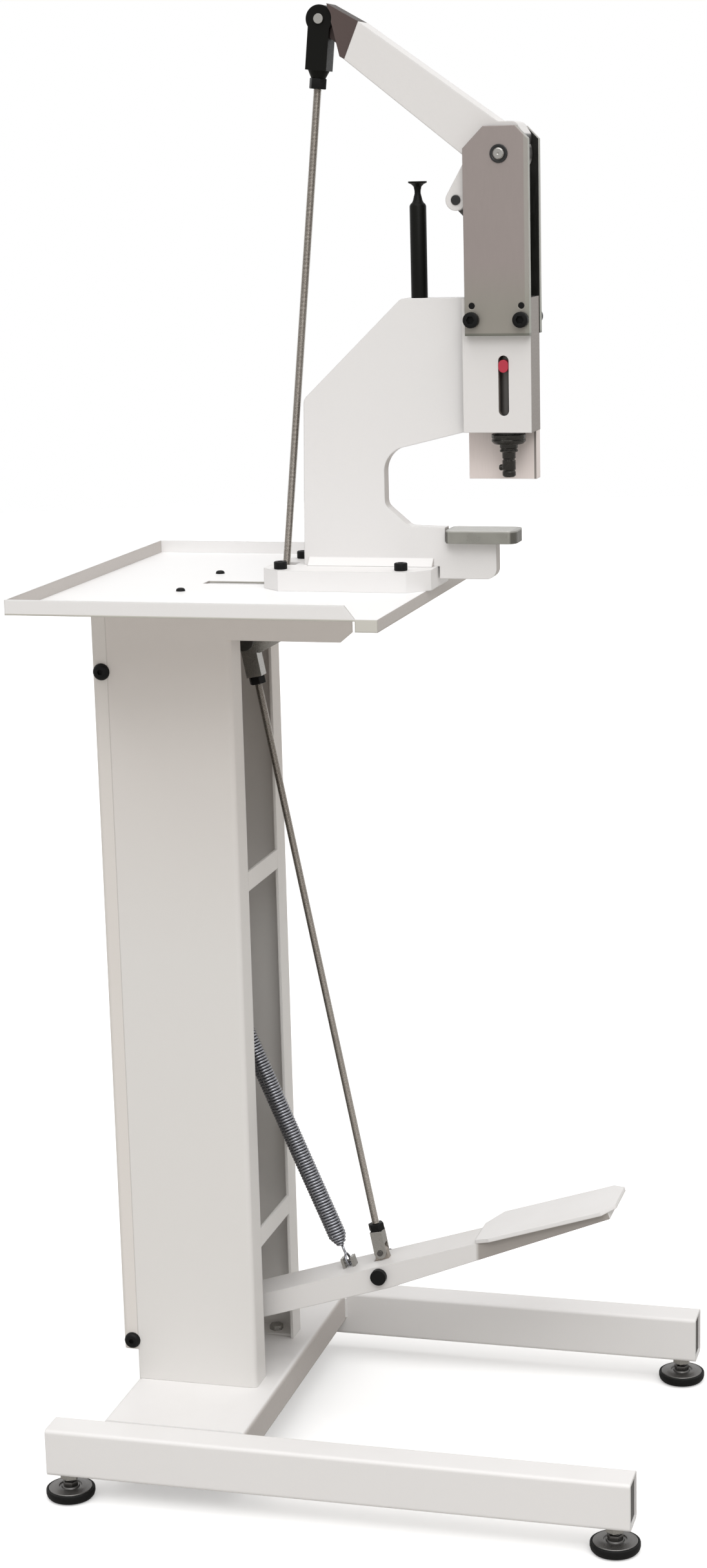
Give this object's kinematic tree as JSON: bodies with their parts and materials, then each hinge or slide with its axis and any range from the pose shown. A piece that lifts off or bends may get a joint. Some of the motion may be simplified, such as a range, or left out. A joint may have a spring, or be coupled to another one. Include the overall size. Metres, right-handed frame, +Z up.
{
  "type": "eyelet machine",
  "caption": "Free-standing eyelet setting machine: a pedal pulls rods and levers that drive a ram down over an anvil on a tray-topped column.",
  "frame": {"origin": "on the floor, in the middle of the four feet", "axes": "+Z up, -Y towards the worker and the pedal's footplate, +X to the worker's right"},
  "size_m": [0.462, 0.614, 1.4635],
  "materials": {
    "white_paint": "satin powder coat",
    "ground_steel": "ground",
    "plate_steel": "rolled, lightly oiled",
    "zinc_plate": "zinc plated",
    "black_oxide": "black oxide",
    "oiled_steel": "dark oiled",
    "spring_steel": "tempered",
    "foot_metal": "matt grey",
    "black_plastic": "matt",
    "red_plastic": "gloss"
  },
  "bodies": {
    "frame": {"foot_rails": "white_paint", "base_crossmember": "white_paint", "column_left": "white_paint", "column_right": "white_paint", "column_crossbars": "white_paint", "rear_cover": "white_paint", "tray": "white_paint", "tray_support": "white_paint", "base_flange": "white_paint", "c_frame": "white_paint", "head_block": "white_paint", "spring_bar": "white_paint", "side_plates": "ground_steel", "anvil_plate": "ground_steel", "pivot_shafts": "ground_steel", "guide_plate": "plate_steel", "shaft_spacers": "plate_steel", "column_bolts": "zinc_plate", "foot_nuts": "zinc_plate", "spring_eyebolt": "zinc_plate", "lever_pivot_pin": "zinc_plate", "pivot_bolt_heads": "black_oxide", "tray_screws": "black_oxide", "flange_screws": "black_oxide", "side_plate_screws": "black_oxide", "stop_post": "black_oxide", "pivot_clips": "black_oxide", "dowel_pins": "black_oxide", "return_spring": "spring_steel", "rail_end_caps": "black_plastic"},
    "pedal": {"pedal_channel": "white_paint", "pedal_hub": "white_paint", "footplate": "white_paint", "pedal_lug": "white_paint", "pedal_lug_bolt": "black_oxide", "spring_ears": "white_paint"},
    "pedal_link": {"pedal_rod": "zinc_plate", "pedal_rod_fork": "zinc_plate", "pedal_rod_pins": "zinc_plate", "pedal_rod_nuts": "black_oxide", "pedal_rod_eye": "zinc_plate"},
    "transfer_lever": {"transfer_plates": "plate_steel", "transfer_spacers": "plate_steel"},
    "upper_lever": {"lever_arm": "white_paint", "crank_pin": "ground_steel", "lever_tip": "oiled_steel"},
    "pull_link": {"pull_rod": "zinc_plate", "pull_rod_fork": "black_oxide", "pull_rod_pins": "zinc_plate", "pull_rod_nut": "black_oxide", "pull_rod_eye": "zinc_plate"},
    "toggle": {"toggle_link": "ground_steel", "link_foot_pin": "ground_steel"},
    "ram_group": {"ram": "ground_steel", "indicator_pin": "red_plastic", "upper_tool": "black_oxide"},
    "foot_front_left": {"foot_front_left": "foot_metal"},
    "foot_front_right": {"foot_front_right": "foot_metal"},
    "foot_rear_left": {"foot_rear_left": "foot_metal"},
    "foot_rear_right": {"foot_rear_right": "foot_metal"}
  },
  "joints": [
    {"name": "pedal_press", "type": "hinge", "parent": "frame", "child": "pedal", "pos_m": [0, 0.254, 0.122], "axis": [1, 0, 0], "range_deg": [0, 19], "stiffness_Nm_per_rad": 22, "springref_deg": -48.7, "deforming": ["return_spring"]},
    {"name": "pedal_rod_swing", "type": "hinge", "parent": "pedal", "child": "pedal_link", "pos_m": [0, 0.00298, 0.20904], "axis": [-1, 0, 0], "range_deg": [0, 22.1]},
    {"name": "transfer_tilt", "type": "hinge", "parent": "frame", "child": "transfer_lever", "pos_m": [0, 0.254, 0.833], "axis": [1, 0, 0], "range_deg": [0, 43.5]},
    {"name": "lever_tilt", "type": "hinge", "parent": "frame", "child": "upper_lever", "pos_m": [0, -0.144, 1.3226], "axis": [-1, 0, 0], "range_deg": [0, 35.2]},
    {"name": "pull_rod_swing", "type": "hinge", "parent": "upper_lever", "child": "pull_link", "pos_m": [0, 0.032, 1.45], "axis": [1, 0, 0], "range_deg": [0, 32.3]},
    {"name": "toggle_swing", "type": "hinge", "parent": "upper_lever", "child": "toggle", "pos_m": [0, -0.0995, 1.281], "axis": [1, 0, 0], "range_deg": [0, 68]},
    {"name": "ram_slide", "type": "slide", "parent": "frame", "child": "ram_group", "axis": [0, 0, -1], "range_m": [0, 0.0349]},
    {"name": "level_front_left", "type": "hinge", "parent": "frame", "child": "foot_front_left", "pos_m": [-0.206, -0.282, 0], "axis": [0, 0, 1], "continuous": true},
    {"name": "level_front_right", "type": "hinge", "parent": "frame", "child": "foot_front_right", "pos_m": [0.206, -0.282, 0], "axis": [0, 0, 1], "continuous": true},
    {"name": "level_rear_left", "type": "hinge", "parent": "frame", "child": "foot_rear_left", "pos_m": [-0.206, 0.282, 0], "axis": [0, 0, 1], "continuous": true},
    {"name": "level_rear_right", "type": "hinge", "parent": "frame", "child": "foot_rear_right", "pos_m": [0.206, 0.282, 0], "axis": [0, 0, 1], "continuous": true}
  ],
  "couplings": [
    {"joint": "pedal_rod_swing", "follows": "pedal_press", "ratio": 1.1577},
    {"joint": "transfer_tilt", "follows": "pedal_press", "ratio": 2.2817},
    {"joint": "lever_tilt", "follows": "pedal_press", "ratio": 1.8417},
    {"joint": "pull_rod_swing", "follows": "pedal_press", "ratio": 1.6914},
    {"joint": "toggle_swing", "follows": "pedal_press", "ratio": 3.5626},
    {"joint": "ram_slide", "follows": "pedal_press", "m_per_rad": 0.10477}
  ]
}
